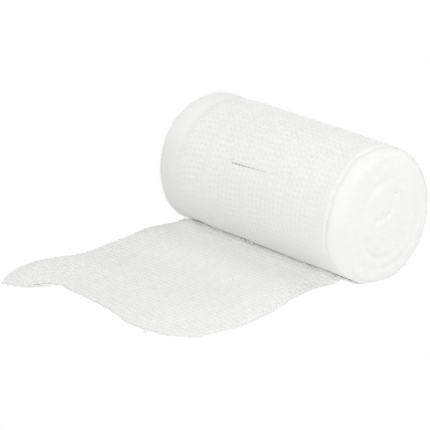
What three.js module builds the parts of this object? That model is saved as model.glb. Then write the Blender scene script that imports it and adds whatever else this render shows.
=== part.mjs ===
// Elastic fixation bandage, wound into a roll that lies on its own loose end.
// Units are millimetres and +Z is up. X runs along the roll, and the loose end lies towards -Y.
// The origin is on the floor, on the roll's flat spot, under the middle of the roll.
// On the real thing both solids are one strip of crepe gauze: it lies on the floor, goes in
// under the roll, and then up its hidden side as the outermost turn.

import * as THREE from 'three';

// Driving dimensions

const STRIP_WIDTH = 80;
const ROLL_DIAMETER = 41.7;
const SHEET_THICKNESS = 1.2;
const PIECE_GAP = 0.3;
const FLAT_SPOT_WIDTH = 5;

const ROLL_RADIUS = ROLL_DIAMETER / 2;
const AXIS_HEIGHT = Math.sqrt(ROLL_RADIUS ** 2 - (FLAT_SPOT_WIDTH / 2) ** 2);
const HALF_LENGTH = STRIP_WIDTH / 2;

// The outermost turn starts at a step one sheet high, just left of the middle of the flat spot.
const STEP_Y = -1.5;
const STEP_HEIGHT = SHEET_THICKNESS + PIECE_GAP;

const COTTON = { color: 0xf1f1ef, roughness: 0.95, metalness: 0 };

const degrees = THREE.MathUtils.degToRad;
const { clamp, lerp, smoothstep } = THREE.MathUtils;

// A bump of height 1 at distance 0 that has all but faded at distance 2.
function bump(distance) {
  return Math.exp(-distance * distance);
}

// A smooth curve through a table's rows, which rise in the column key.
function readTable(rows, key, value, at) {
  const last = rows.length - 1;
  let i = 0;
  while (i < last - 1 && at > rows[i + 1][key]) {
    i += 1;
  }
  const slope = (n) => {
    const before = rows[Math.max(n - 1, 0)];
    const after = rows[Math.min(n + 1, last)];
    return (after[value] - before[value]) / (after[key] - before[key]);
  };
  const step = rows[i + 1][key] - rows[i][key];
  const t = clamp((at - rows[i][key]) / step, 0, 1);
  const from = (2 * t ** 3 - 3 * t ** 2 + 1) * rows[i][value] + (t ** 3 - 2 * t ** 2 + t) * step * slope(i);
  const to = (3 * t ** 2 - 2 * t ** 3) * rows[i + 1][value] + (t ** 3 - t ** 2) * step * slope(i + 1);
  return from + to;
}

// A closed skin of triangles. Points that fall together are one point.

class Skin {
  constructor() {
    this.positions = [];
    this.triangles = [];
    this.known = new Map();
  }

  point(x, y, z) {
    const key = [x, y, z].map((value) => Math.round(value * 1000)).join();
    if (!this.known.has(key)) {
      this.known.set(key, this.positions.length / 3);
      this.positions.push(x, y, z);
    }
    return this.known.get(key);
  }

  triangle(a, b, c) {
    if (a !== b && b !== c && c !== a) {
      this.triangles.push(a, b, c);
    }
  }

  quad(a, b, c, d) {
    this.triangle(a, b, c);
    this.triangle(a, c, d);
  }

  mesh(name, finish) {
    const geometry = new THREE.BufferGeometry();
    geometry.setAttribute('position', new THREE.Float32BufferAttribute(this.positions, 3));
    geometry.setIndex(this.triangles);
    geometry.computeVertexNormals();
    const mesh = new THREE.Mesh(geometry, new THREE.MeshStandardMaterial(finish));
    mesh.name = name;
    return mesh;
  }
}

// The wound roll
//
// It is laid out as rings round the axis, from the middle of the far end face (-X), over the far
// rim, along the side, over the near rim and in to the middle of the near end face (+X).
// A ring's angle is 0 straight down, and grows towards +Y, over the top and back on the -Y side.

const RING_STEPS = 72;
const STEP_ANGLE = Math.asin(STEP_Y / ROLL_RADIUS);

// How far the side stands out of the plain cylinder, along the roll: the far rim flares, with a
// shallow groove behind it, and the near part swells a little.
const SIDE = [
  { x: -37.4, swell: 0.5 },
  { x: -35.8, swell: 0.45 },
  { x: -33.6, swell: 0.15 },
  { x: -31.4, swell: -0.1 },
  { x: -29, swell: 0.05 },
  { x: -24, swell: 0.3 },
  { x: -12, swell: 0.25 },
  { x: 0, swell: 0.3 },
  { x: 12, swell: 0.35 },
  { x: 22, swell: 0.3 },
  { x: 30, swell: 0.1 },
];

const FAR_RIM = { start: SIDE[0].x, face: -HALF_LENGTH, inset: 2.6, steps: 4 };
const NEAR_RIM = { start: 37.6, face: HALF_LENGTH, inset: 2.4, steps: 4 };

// The outer turn's edge ends in a crease a little before the near rim. On top of the roll the
// turns have slipped, and the crease and the rim lie further back.
const CREASE = { before: 2.2, depth: 0.35, halfWidth: 0.7 };
const SLIPPED_TOP = { angle: degrees(182), spread: degrees(36), by: 2 };

// The end faces are crowned, with a sunk ring where the winding slackened, and a pit at the core.
const CROWN = 0.9;
const FACE_RINGS = [0.93, 0.8, 0.71, 0.64, 0.57, 0.4, 0.22, 0.09];
const SUNK_RING = { at: 0.64, halfWidth: 0.05, depth: 0.35 };
const CORE_PIT = 1.4;

// The winding isn't quite round: each end's section is stretched upwards, and widened low down,
// by these shares of the radius. The far end's lower left has slumped outwards.
const FAR_SECTION = { tall: 0, lowWide: -0.035 };
const NEAR_SECTION = { tall: 0.024, lowWide: 0.015 };
const SLUMP = { angle: degrees(308), spread: degrees(24), by: 0.9, reach: 9 };

function nearRimStart(angle) {
  const slipped = bump((angle - SLIPPED_TOP.angle) / SLIPPED_TOP.spread);
  return NEAR_RIM.start - SLIPPED_TOP.by * slipped;
}

function sideRadius(x, angle) {
  const slump = SLUMP.by * bump((angle - SLUMP.angle) / SLUMP.spread) * bump((x + HALF_LENGTH) / SLUMP.reach);
  return ROLL_RADIUS + readTable(SIDE, 'x', 'swell', x) + slump;
}

function faceRelief(share) {
  const sunk = SUNK_RING.depth * bump((share - SUNK_RING.at) / SUNK_RING.halfWidth);
  return CROWN * (1 - share * share) - sunk;
}

// Each station gives x and radius for an angle.

function rimStations(edge, start) {
  const list = [];
  for (let i = 0; i <= edge.steps; i += 1) {
    const turn = (i / edge.steps) * (Math.PI / 2);
    list.push((angle) => {
      const from = start(angle);
      const x = lerp(from, edge.face, Math.sin(turn));
      return { x, radius: sideRadius(from, angle) - edge.inset * (1 - Math.cos(turn)) };
    });
  }
  return list;
}

function faceStations(edge, start) {
  return FACE_RINGS.map((share) => (angle) => {
    const rim = sideRadius(start(angle), angle) - edge.inset;
    return { x: edge.face + Math.sign(edge.face) * faceRelief(share), radius: rim * share };
  });
}

function sideStations() {
  const list = SIDE.slice(1).map(({ x }) => (angle) => ({ x, radius: sideRadius(x, angle) }));
  for (const side of [-1, 0, 1]) {
    list.push((angle) => {
      const x = nearRimStart(angle) - CREASE.before + side * CREASE.halfWidth;
      const depth = side === 0 ? CREASE.depth : 0;
      return { x, radius: sideRadius(x, angle) - depth };
    });
  }
  return list;
}

function stations() {
  const farStart = () => FAR_RIM.start;
  return [
    ...faceStations(FAR_RIM, farStart).reverse(),
    ...rimStations(FAR_RIM, farStart).reverse(),
    ...sideStations(),
    ...rimStations(NEAR_RIM, nearRimStart),
    ...faceStations(NEAR_RIM, nearRimStart),
  ];
}

// A ring point, pressed flat where it meets the floor or the strip that lies under the roll.
function ringPoint(skin, station, angle, restHeight) {
  const { x, radius } = station(angle);
  const share = clamp((x + HALF_LENGTH) / STRIP_WIDTH, 0, 1);
  const tall = lerp(FAR_SECTION.tall, NEAR_SECTION.tall, share);
  const lowWide = lerp(FAR_SECTION.lowWide, NEAR_SECTION.lowWide, share);
  const y = radius * Math.sin(angle) * (1 - tall + lowWide * Math.cos(angle));
  const z = (AXIS_HEIGHT - radius * Math.cos(angle)) * (1 + tall);
  return skin.point(x, y, Math.max(z, restHeight));
}

function woundRoll() {
  const skin = new Skin();
  const rings = stations().map((station) => {
    const ring = [];
    for (let i = 0; i <= RING_STEPS; i += 1) {
      const angle = STEP_ANGLE + (i / RING_STEPS) * 2 * Math.PI;
      const onStrip = i > RING_STEPS / 2;
      ring.push(ringPoint(skin, station, angle, onStrip ? STEP_HEIGHT : 0));
    }
    return ring;
  });
  const count = RING_STEPS + 1;
  for (let r = 0; r < rings.length - 1; r += 1) {
    for (let i = 0; i < count; i += 1) {
      const next = (i + 1) % count;
      skin.quad(rings[r][i], rings[r][next], rings[r + 1][next], rings[r + 1][i]);
    }
  }
  const farCore = skin.point(FAR_RIM.face - CROWN + CORE_PIT, 0, AXIS_HEIGHT);
  const nearCore = skin.point(NEAR_RIM.face + CROWN - CORE_PIT, 0, AXIS_HEIGHT);
  const farRing = rings[0];
  const nearRing = rings[rings.length - 1];
  for (let i = 0; i < count; i += 1) {
    const next = (i + 1) % count;
    skin.triangle(farCore, farRing[next], farRing[i]);
    skin.triangle(nearCore, nearRing[i], nearRing[next]);
  }
  return skin.mesh('wound_roll', COTTON);
}

// The loose end
//
// A sheet that starts under the roll, butts against the step, and lies on the floor in low waves.
// It is drawn in where the roll holds it, and its far corner is lifted.

const SHEET_STEPS = { along: 40, across: 36 };
const NIP_Y = STEP_Y - PIECE_GAP;

// The two selvedges, by distance from the roll's middle line.
const SELVEDGES = [
  { y: -86, far: -37.4, near: 36.4 },
  { y: -81, far: -39.6, near: 36.4 },
  { y: -75, far: -41.4, near: 36.4 },
  { y: -69, far: -41, near: 36.4 },
  { y: -62, far: -40.4, near: 37 },
  { y: -52, far: -38.4, near: 37.7 },
  { y: -42, far: -39.4, near: 36 },
  { y: -32, far: -40.8, near: 33 },
  { y: -24, far: -41.4, near: 30.8 },
  { y: -17, far: -40.9, near: 30.2 },
  { y: -11, far: -40, near: 31 },
  { y: -6, far: -39.6, near: 36 },
  { y: -1, far: -39.4, near: 38.6 },
];

// The cut end, by share of the width from the far selvedge.
const CUT_END = [
  { share: 0, y: -85.6 },
  { share: 0.05, y: -85.4 },
  { share: 0.11, y: -82.6 },
  { share: 0.17, y: -78 },
  { share: 0.23, y: -73 },
  { share: 0.32, y: -75 },
  { share: 0.46, y: -75.6 },
  { share: 0.6, y: -78 },
  { share: 0.72, y: -79.6 },
  { share: 0.82, y: -78 },
  { share: 0.92, y: -75.4 },
  { share: 1, y: -71 },
];

// The waves: the middle of each crest, the heading of the crest from +X, half its length and
// half its width, and its height.
const WAVES = [
  { name: 'far corner', x: -34.5, y: -74, heading: degrees(110), length: 11, width: 6, height: 2.5 },
  { name: 'far selvedge by the roll', x: -39, y: -23, heading: degrees(80), length: 8, width: 7, height: 0.9 },
  { name: 'near selvedge by the roll', x: 30, y: -20, heading: degrees(85), length: 9, width: 6, height: 0.8 },
  { name: 'cut end', x: 12, y: -70, heading: degrees(8), length: 16, width: 5, height: 0.9 },
  { name: 'middle', x: -4, y: -44, heading: degrees(40), length: 18, width: 7, height: 0.6 },
];
const LIES_FLAT_BELOW = 0.2;

// Every wave comes down to the floor over this distance from the cut end.
const END_DROP = 4;

function waveHeight(x, y, fromCutEnd) {
  let height = -LIES_FLAT_BELOW;
  for (const wave of WAVES) {
    const dx = x - wave.x;
    const dy = y - wave.y;
    const along = dx * Math.cos(wave.heading) + dy * Math.sin(wave.heading);
    const across = dy * Math.cos(wave.heading) - dx * Math.sin(wave.heading);
    height += wave.height * bump(along / wave.length) * bump(across / wave.width);
  }
  return Math.max(height, 0) * smoothstep(fromCutEnd, 0, END_DROP);
}

function looseEnd() {
  const skin = new Skin();
  const { along, across } = SHEET_STEPS;
  const under = [];
  const over = [];
  for (let i = 0; i <= along; i += 1) {
    under.push([]);
    over.push([]);
    for (let j = 0; j <= across; j += 1) {
      const share = j / across;
      const cutY = readTable(CUT_END, 'share', 'y', share);
      const y = lerp(NIP_Y, cutY, i / along);
      const x = lerp(readTable(SELVEDGES, 'y', 'far', y), readTable(SELVEDGES, 'y', 'near', y), share);
      const lift = waveHeight(x, y, y - cutY);
      under[i].push(skin.point(x, y, lift));
      over[i].push(skin.point(x, y, lift + SHEET_THICKNESS));
    }
  }
  for (let i = 0; i < along; i += 1) {
    for (let j = 0; j < across; j += 1) {
      skin.quad(over[i][j], over[i + 1][j], over[i + 1][j + 1], over[i][j + 1]);
      skin.quad(under[i][j], under[i][j + 1], under[i + 1][j + 1], under[i + 1][j]);
    }
    skin.quad(over[i][0], under[i][0], under[i + 1][0], over[i + 1][0]);
    skin.quad(over[i][across], over[i + 1][across], under[i + 1][across], under[i][across]);
  }
  for (let j = 0; j < across; j += 1) {
    skin.quad(over[0][j], over[0][j + 1], under[0][j + 1], under[0][j]);
    skin.quad(over[along][j], under[along][j], under[along][j + 1], over[along][j + 1]);
  }
  return skin.mesh('loose_end', COTTON);
}

const bandage = new THREE.Group();
bandage.add(woundRoll(), looseEnd());

export default bandage;
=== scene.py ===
# %% [markdown]
# The object is one strip of elastic crepe gauze, 80 mm wide and about 2.3 m long when slack. It is
# wound into a roll, and the roll lies on the strip's own loose end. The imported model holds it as
# two plain solids, `wound_roll` and `loose_end`. They are the fixed frame of this scene: every
# piece below is made round them, in the same place and at the same size, and then stands for them.

# %% Load the frame
import math

import bpy
import numpy as np
from mathutils import Matrix, Vector, noise
from mathutils.bvhtree import BVHTree


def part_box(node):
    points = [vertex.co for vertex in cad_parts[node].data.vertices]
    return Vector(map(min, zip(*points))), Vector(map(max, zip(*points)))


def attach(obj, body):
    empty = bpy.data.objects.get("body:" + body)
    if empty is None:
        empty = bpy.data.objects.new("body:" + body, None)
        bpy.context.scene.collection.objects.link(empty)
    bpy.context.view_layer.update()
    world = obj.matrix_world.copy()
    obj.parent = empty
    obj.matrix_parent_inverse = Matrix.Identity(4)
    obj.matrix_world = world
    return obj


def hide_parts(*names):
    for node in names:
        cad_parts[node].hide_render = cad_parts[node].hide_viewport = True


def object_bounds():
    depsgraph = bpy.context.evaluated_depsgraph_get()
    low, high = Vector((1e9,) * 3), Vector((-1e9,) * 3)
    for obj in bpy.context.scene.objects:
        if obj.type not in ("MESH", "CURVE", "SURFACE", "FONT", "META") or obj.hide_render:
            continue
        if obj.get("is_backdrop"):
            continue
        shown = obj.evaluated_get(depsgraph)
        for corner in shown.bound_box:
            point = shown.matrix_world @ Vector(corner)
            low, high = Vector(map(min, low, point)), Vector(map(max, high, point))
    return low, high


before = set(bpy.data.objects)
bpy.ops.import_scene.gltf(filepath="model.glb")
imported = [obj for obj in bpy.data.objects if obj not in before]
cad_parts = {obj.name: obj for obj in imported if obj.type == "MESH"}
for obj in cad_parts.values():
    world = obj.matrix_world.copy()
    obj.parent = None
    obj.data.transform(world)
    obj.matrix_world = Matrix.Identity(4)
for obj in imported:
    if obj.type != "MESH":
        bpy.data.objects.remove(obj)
cad_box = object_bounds()
MM = 0.001
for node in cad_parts:
    low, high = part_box(node)
    print(node, "spans", [round((b - a) / MM, 1) for a, b in zip(low, high)], "mm")

# %% [markdown]
# The photograph looks down on the roll from the front right, through a long lens. The camera is
# given by the point that it aims at on the floor, its bearing and height as angles, and its
# distance. A long lens far away keeps the roll's two ends nearly the same size, as they are there.

# %% Camera
# The distance and the aim are in the model's mm, the lens and its sensor in a camera's own. The
# picture leans by LEAN radians, and nothing nearer than NEAREST_SEEN metres is drawn.
AZIMUTH = math.radians(48.1)
ELEVATION = math.radians(19.88)
DISTANCE = 939.4
AIM = Vector((-38.52, 2.07, 0.0))
LENS = 242.9
SENSOR_WIDTH = 36
LEAN = 0.003
NEAREST_SEEN = 0.05

back = Vector((
    math.sin(AZIMUTH) * math.cos(ELEVATION),
    -math.cos(AZIMUTH) * math.cos(ELEVATION),
    math.sin(ELEVATION),
))
right = Vector((0, 0, 1)).cross(back).normalized()
up = back.cross(right)
turned_right = right * math.cos(LEAN) + up * math.sin(LEAN)
turned_up = up * math.cos(LEAN) - right * math.sin(LEAN)

bpy.ops.object.select_all(action="DESELECT")
bpy.ops.object.camera_add()
camera = bpy.context.active_object
camera.data.lens = LENS
camera.data.sensor_width = SENSOR_WIDTH
camera.data.clip_start = NEAREST_SEEN
camera.matrix_world = Matrix.Translation((AIM + back * DISTANCE) * MM) @ Matrix(
    (turned_right, turned_up, back)
).transposed().to_4x4()
bpy.context.scene.camera = camera
print("the camera stands at", [round(value, 3) for value in camera.matrix_world.translation])

# %% [markdown]
# Two helpers serve every finish, and the light as well: colours are sRGB hex values turned to
# linear light, and a node is added together with its settings and what feeds it.

# %% Helpers for colours and nodes


def hex_colour(code):
    """An sRGB hex colour as linear red, green, blue and 1."""
    channels = [int(code[i : i + 2], 16) / 255 for i in (1, 3, 5)]
    return (*(c / 12.92 if c <= 0.04045 else ((c + 0.055) / 1.055) ** 2.4 for c in channels), 1.0)


def add_node(tree, kind, inputs=(), **settings):
    """Adds a node with its settings. An input is either a value or the output that feeds it."""
    node = tree.nodes.new(kind)
    for name, value in settings.items():
        setattr(node, name, value)
    for name, value in dict(inputs).items():
        if isinstance(value, bpy.types.NodeSocket):
            tree.links.new(value, node.inputs[name])
        else:
            node.inputs[name].default_value = value
    return node


print("white cotton in linear light:", [round(c, 3) for c in hex_colour("#f4f4f3")])

# %% [markdown]
# White cloth on white is shot on a light table with soft lamps round it, and then cut out on pure
# white. So the camera sees a white world, while the cloth is lit by a dim tent and four large
# soft lamps: the main one above the camera, a low one on the left that reaches in under the roll,
# one behind on the right, and one high up. The floor glows white right up to the cloth and throws
# some of its light back up.
#
# White cloth also lights itself. In the nip and between yarns, light goes to and fro many times
# before it comes out, so it is followed for more bounces than Blender's usual four.

# %% Floor, tent and lamps
LIGHT_BOUNCES = 16
bpy.context.scene.view_settings.view_transform = "Standard"
bpy.context.scene.cycles.max_bounces = LIGHT_BOUNCES
bpy.context.scene.cycles.diffuse_bounces = LIGHT_BOUNCES

# How bright the tent is, against a white of 1, and sizes in mm.
WHITE = (1, 1, 1, 1)
TENT = 0.29
FLOOR_SIZE = 6000
LAMP_DISTANCE = 900
LAMP_SIZE = 500

# The lamps: bearing and height in degrees, as for the camera, and watts.
LAMPS = [(40, 40, 3.85), (-80, 25, 1.62), (150, 30, 1.7), (120, 70, 1.78)]

world = bpy.data.worlds.new("light_tent")
world.use_nodes = True
tree = world.node_tree
lit_by = tree.nodes["Background"]
lit_by.inputs["Color"].default_value = WHITE
lit_by.inputs["Strength"].default_value = TENT
seen_as = add_node(tree, "ShaderNodeBackground", {"Color": WHITE, "Strength": 1.0})
seen = add_node(tree, "ShaderNodeLightPath").outputs["Is Camera Ray"]
both = add_node(tree, "ShaderNodeMixShader", {"Fac": seen})
tree.links.new(lit_by.outputs[0], both.inputs[1])
tree.links.new(seen_as.outputs[0], both.inputs[2])
tree.links.new(both.outputs[0], tree.nodes["World Output"].inputs["Surface"])
bpy.context.scene.world = world

bpy.ops.mesh.primitive_plane_add(size=FLOOR_SIZE * MM, location=(0, 0, 0))
floor = bpy.context.active_object
floor.name = "floor"
floor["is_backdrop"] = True
floor_material = bpy.data.materials.new("glowing_white_table")
floor_material.use_nodes = True
tree = floor_material.node_tree
glow = add_node(tree, "ShaderNodeEmission", {"Color": WHITE, "Strength": 1.0})
tree.links.new(glow.outputs[0], tree.nodes["Material Output"].inputs["Surface"])
tree.nodes.remove(tree.nodes["Principled BSDF"])
floor.data.materials.append(floor_material)

for bearing, height, watts in LAMPS:
    flat_way = math.cos(math.radians(height))
    way = Vector((
        math.sin(math.radians(bearing)) * flat_way,
        -math.cos(math.radians(bearing)) * flat_way,
        math.sin(math.radians(height)),
    ))
    bpy.ops.object.light_add(type="AREA", location=way * LAMP_DISTANCE * MM)
    lamp = bpy.context.active_object
    lamp.data.size = LAMP_SIZE * MM
    lamp.data.energy = watts
    lamp.rotation_euler = way.to_track_quat("Z", "Y").to_euler()
print("a tent of", TENT, "and", len(LAMPS), "lamps", LAMP_DISTANCE, "mm away")

# %% [markdown]
# A few small helpers serve every piece. One reads a smooth curve through a short table. Others
# give a soft bump, a soft slope and a soft ridge. The last two are smooth noise, for the
# unevenness that no hand-wound cloth lacks. The noise has no chance in it: the same point always
# gives the same value.

# %% Helpers for uneven shapes


def curve(rows, at):
    """A smooth curve through (place, value) rows, read at one place or at an array of them."""
    places, values = np.array(rows, float).T
    slopes = np.gradient(values, places)
    row = np.clip(np.searchsorted(places, at) - 1, 0, len(places) - 2)
    width = places[row + 1] - places[row]
    t = np.clip((at - places[row]) / width, 0, 1)
    start = (2 * t**3 - 3 * t**2 + 1) * values[row] + (t**3 - 2 * t**2 + t) * width * slopes[row]
    end = (3 * t**2 - 2 * t**3) * values[row + 1] + (t**3 - t**2) * width * slopes[row + 1]
    return start + end


def bump(distance):
    """1 at distance 0, and all but gone at distance 2."""
    return np.exp(-np.square(distance))


def smooth(value, low, high):
    """0 up to low, 1 from high on, and an even slope between them."""
    t = np.clip((value - low) / (high - low), 0, 1)
    return t * t * (3 - 2 * t)


def ridge(x, y, heading, half_length, half_width):
    """A soft ridge of height 1 over the origin, with its crest at a heading in degrees."""
    ahead, aside = math.cos(math.radians(heading)), math.sin(math.radians(heading))
    return bump((x * ahead + y * aside) / half_length) * bump((y * ahead - x * aside) / half_width)


# Each kind of noise is read this far from the one before it, so no two uses look alike.
KIND_SHIFT = (37.3, 11.7, 5.9)


def unevenness(points, size, kind):
    """Smooth noise from -1 to 1 at each point, in lumps about size mm across. kind picks one of many."""
    shift = Vector([part * kind for part in KIND_SHIFT])
    flat = np.reshape(points, (-1, 3)) / size
    values = [noise.noise(Vector(point) + shift) for point in flat]
    return np.reshape(values, np.shape(points)[:-1])


def lumps(points, layers):
    """Layers of that noise added up. A layer is its height, its size in mm and its kind."""
    return sum(height * unevenness(points, size, kind) for height, size, kind in layers)


print("noise at one point:", round(float(unevenness([[1.0, 2.0, 3.0]], 7, 0)[0]), 3))

# %% [markdown]
# A piece is a mesh at the origin, with its place in its points. The points are worked out in
# millimetres and become metres here.

# %% Helper for a mesh


def new_piece(name, points, faces, uvs=None):
    """A smooth-shaded mesh from points in mm, faces as lists of point numbers, and UVs by corner."""
    mesh = bpy.data.meshes.new(name)
    mesh.from_pydata((np.reshape(points, (-1, 3)) * MM).tolist(), [], faces)
    if uvs is not None:
        layer = mesh.uv_layers.new(name="along_and_round")
        layer.uv.foreach_set("vector", np.ravel(uvs).astype(np.float32))
    mesh.shade_smooth()
    mesh.validate()
    piece = bpy.data.objects.new(name, mesh)
    bpy.context.scene.collection.objects.link(piece)
    return piece


def triangles(piece):
    """How many triangles a piece has."""
    piece.data.calc_loop_triangles()
    return len(piece.data.loop_triangles)


# %% [markdown]
# The wound roll isn't a true cylinder. Its far rim flares, it has slumped a little low down on
# the left, and it is flat where it rests. All that is in the solid, so it is measured there: from
# points on the roll's axis, rays go out to the solid's skin. A table of these distances then
# gives the reach at any place along the roll and any angle round it, with the facets smoothed.

# %% Measure the roll in the frame
AXIS_HEIGHT = 20.7
CYLINDER_RADIUS = 20.9
HALF_LENGTH = 40.0

# The table's rows lie between these two places along the roll, and its columns go all round.
REACH_FROM, REACH_TO, REACH_ROWS = -36.8, 32.4, 48
REACH_ANGLES = 240
SMOOTHING_PASSES = 2

roll_tree = BVHTree.FromObject(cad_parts["wound_roll"], bpy.context.evaluated_depsgraph_get())


def spoke(angle):
    """The way out from the axis. Angle 0 is straight down, and it grows towards +Y and over the top."""
    return np.stack([np.zeros_like(angle), np.sin(angle), -np.cos(angle)], -1)


def roll_point(x, radius, angle):
    """The point at x, radius and angle, in mm."""
    point = spoke(angle) * np.expand_dims(radius, -1)
    point[..., 0] = x
    point[..., 2] += AXIS_HEIGHT
    return point


def reach_by_ray(x, angle):
    """The distance in mm from the axis to the solid's skin."""
    hit = roll_tree.ray_cast(Vector((x, 0, AXIS_HEIGHT)) * MM, Vector(spoke(angle)))
    return hit[3] / MM


rows = np.linspace(REACH_FROM, REACH_TO, REACH_ROWS)
spokes = np.arange(REACH_ANGLES) * 2 * math.pi / REACH_ANGLES
reach_table = np.array([[reach_by_ray(x, angle) for angle in spokes] for x in rows])
for _ in range(SMOOTHING_PASSES):
    reach_table[1:-1] = (reach_table[:-2] + 2 * reach_table[1:-1] + reach_table[2:]) / 4
print("the roll's radius runs from", round(reach_table.min(), 2), "to", round(reach_table.max(), 2), "mm")

# %% [markdown]
# The real skin is livelier than the solid's. The groove behind the far rim is deeper, a few faint
# wrinkles run low on the front, and soft lumps lie all over. In front, the roll also sags a
# little further onto the strip below it. All these are small, so they are added to the measured
# reach as soft bumps.

# %% What the skin adds to the solid
# The far rim and the groove behind it: place along the roll, half width and height of each in mm,
# and the middle and spread of its arc in degrees.
FLARE = [
    (-36.8, 2.0, -0.15, 235, 95), (-32.2, 2.2, -0.75, 240, 95), (-24.5, 4.0, 0.14, 240, 80),
    (-37.5, 3.0, -0.35, 325, 28), (-37.0, 2.5, -0.25, 175, 35),
]

# A few faint wrinkles low on the far half of the front: place along the roll, angle and slant in
# degrees, half length, half width and height in mm.
WRINKLES = [
    (-27, 268, -9, 5, 0.7, 0.07), (-21, 281, -7, 8, 0.8, 0.1), (-15, 288, -8, 7, 0.7, -0.08),
    (-9, 290, -6, 6, 0.8, 0.09), (-24, 291, -5, 6, 0.7, -0.07),
]
SKIN_LUMPS = [(0.1, 9.0, 20)]

# Noise on the skin is read on a plain cylinder of this radius.
NOISE_RADIUS = 20.0

# Where the roll sags onto the strip, its skin comes down to these heights over the floor, by place
# along the roll, all in mm. Past the strip's selvedges it comes down nearly to the floor.
RESTS_AT = [
    (-40, 0.2), (-38.6, 0.6), (-37.4, 1.05), (-35.5, 1.3), (0, 1.3), (30, 1.3), (33, 1.3),
    (36, 1.22), (37.6, 1.0), (38.6, 0.5), (40, 0.1),
]

# The angles in degrees over which it starts to sag, and over which it goes on down to the floor,
# since the strip begins there. LEAST_COSINE only keeps a division safe higher up.
ABOVE_STRIP = (322, 334)
TO_FLOOR = (346.4, 355.9)
LEAST_COSINE = 0.1


def skin_place(x, angle):
    """The point at x and an angle where noise on the skin is read."""
    return roll_point(x + 0 * angle, NOISE_RADIUS + 0 * x * angle, angle + 0 * x)


def degrees_from(angle, middle):
    """How far round an angle lies from a middle in degrees, from -180 to 180."""
    return (np.degrees(angle) - middle + 180) % 360 - 180


def flare(x, angle):
    """How far the skin stands out of the solid: the far rim and groove, wrinkles and soft lumps."""
    out = 0 * x * angle
    for middle, half, height, heading, spread in FLARE:
        out = out + height * bump((x - middle) / half) * bump(degrees_from(angle, heading) / spread)
    for middle, heading, slant, length, half, height in WRINKLES:
        down = CYLINDER_RADIUS * np.radians(degrees_from(angle, heading))
        out = out + height * ridge(x - middle, down, slant, length, half)
    return out + lumps(skin_place(x, angle), SKIN_LUMPS)


def roll_reach(x, angle):
    """The roll's radius in mm at x and an angle, from the table and the flare."""
    row = (np.clip(x, REACH_FROM, REACH_TO) - REACH_FROM) / (REACH_TO - REACH_FROM) * (REACH_ROWS - 1)
    column = (angle / (2 * math.pi) * REACH_ANGLES) % REACH_ANGLES
    i = np.minimum(row.astype(int), REACH_ROWS - 2)
    j = column.astype(int) % REACH_ANGLES
    k = (j + 1) % REACH_ANGLES
    down, along = row - i, column - np.floor(column)
    first = reach_table[i, j] * (1 - along) + reach_table[i, k] * along
    second = reach_table[i + 1, j] * (1 - along) + reach_table[i + 1, k] * along
    reach = first * (1 - down) + second * down + flare(x, angle)
    degrees = np.degrees(angle) % 360
    held_up = curve(RESTS_AT, x + 0 * angle) * (1 - smooth(degrees, *TO_FLOOR))
    free = CYLINDER_RADIUS + 0 * reach
    sagged = np.minimum(free, (AXIS_HEIGHT - held_up) / np.maximum(np.cos(angle), LEAST_COSINE))
    return reach + smooth(degrees, *ABOVE_STRIP) * (np.maximum(reach, sagged) - reach)


print("the roll sags to", round(float(curve(RESTS_AT, 0.0)), 2), "mm over the floor")

# %% [markdown]
# On the real roll, the outermost turn doesn't reach the near rim. Its edge lies 3 to 4 mm
# further in and leaves a crease. Beyond the crease the turn below shows as a smooth, bright band.
# The crease could be the step of a real second layer, but it is soft and half a millimetre deep,
# so it is pressed into the one skin.

# %% Where the outer turn ends
# The far rim: where it starts to round over, and how far in it takes the skin, in mm.
FAR_START = -37.4
FAR_INSET = 2.6

# The near rim, by angle in degrees: the same two measures. On the front it starts at the crease and
# is broad and soft. On the back it is narrow.
NEAR_RIM = [
    (-20, 38.4, 1.6), (0, 38.4, 1.4), (30, 38.3, 1.4), (60, 38.0, 1.8), (90, 37.6, 2.2), (120, 37.4, 2.4),
    (150, 37.4, 2.4), (170, 37.1, 2.7), (190, 36.7, 3.2), (208, 36.6, 3.7), (228, 36.8, 4.3),
    (248, 36.5, 4.8), (262, 36.2, 5.0), (275, 35.9, 5.0), (290, 35.9, 4.5), (311, 36.8, 3.4),
    (330, 37.8, 2.2), (350, 38.4, 1.6), (380, 38.4, 1.4),
]

# How much of the near rim is a flat bevel, the rest being round.
BEVEL_SHARE = 0.3

# The crease: its depth and half width, and how far its groove lies inside the turn's edge. Its
# line wanders and its depth changes a little.
CREASE_DEPTH, CREASE_HALF_WIDTH = 0.5, 0.75
CREASE_SHIFT = 0.1
CREASE_WANDER = [(0.18, 2.2, 3)]
CREASE_CHANGES = [(0.6, 2.4, 17)]

# Its place along the roll, by angle in degrees, as it runs round the near end.
CREASE_LINE = [
    (-20, 36.4), (20, 36.2), (60, 36.0), (100, 36.1), (130, 36.5), (150, 37.1), (163, 37.2),
    (177, 36.6), (190, 36.3), (200, 36.0), (213, 36.3), (226, 36.6), (235, 36.2), (247, 36.3),
    (258, 36.1), (271, 35.7), (285, 35.4), (298, 35.7), (311, 36.5), (340, 36.4), (380, 36.3),
]

# How deep it is, by angle: deepest high on the front, and all but gone low down.
CREASE_STRENGTH = [
    (-20, 0.3), (60, 0.6), (150, 0.8), (183, 1.0), (226, 1.1), (248, 1.3), (262, 1.25), (275, 0.9),
    (288, 0.5), (311, 0.25), (340, 0.3), (380, 0.3),
]


def near_start(angle):
    """Where the near rim starts to round over."""
    return curve([(at, start) for at, start, _ in NEAR_RIM], np.degrees(angle) % 360)


def near_inset(angle):
    """How far in the near rim takes the skin, from the side to the end face."""
    return curve([(at, inset) for at, _, inset in NEAR_RIM], np.degrees(angle) % 360)


def crease(angle):
    """Where the outer turn's edge lies, along the roll."""
    return curve(CREASE_LINE, np.degrees(angle) % 360) + lumps(skin_place(0, angle), CREASE_WANDER)


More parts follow.
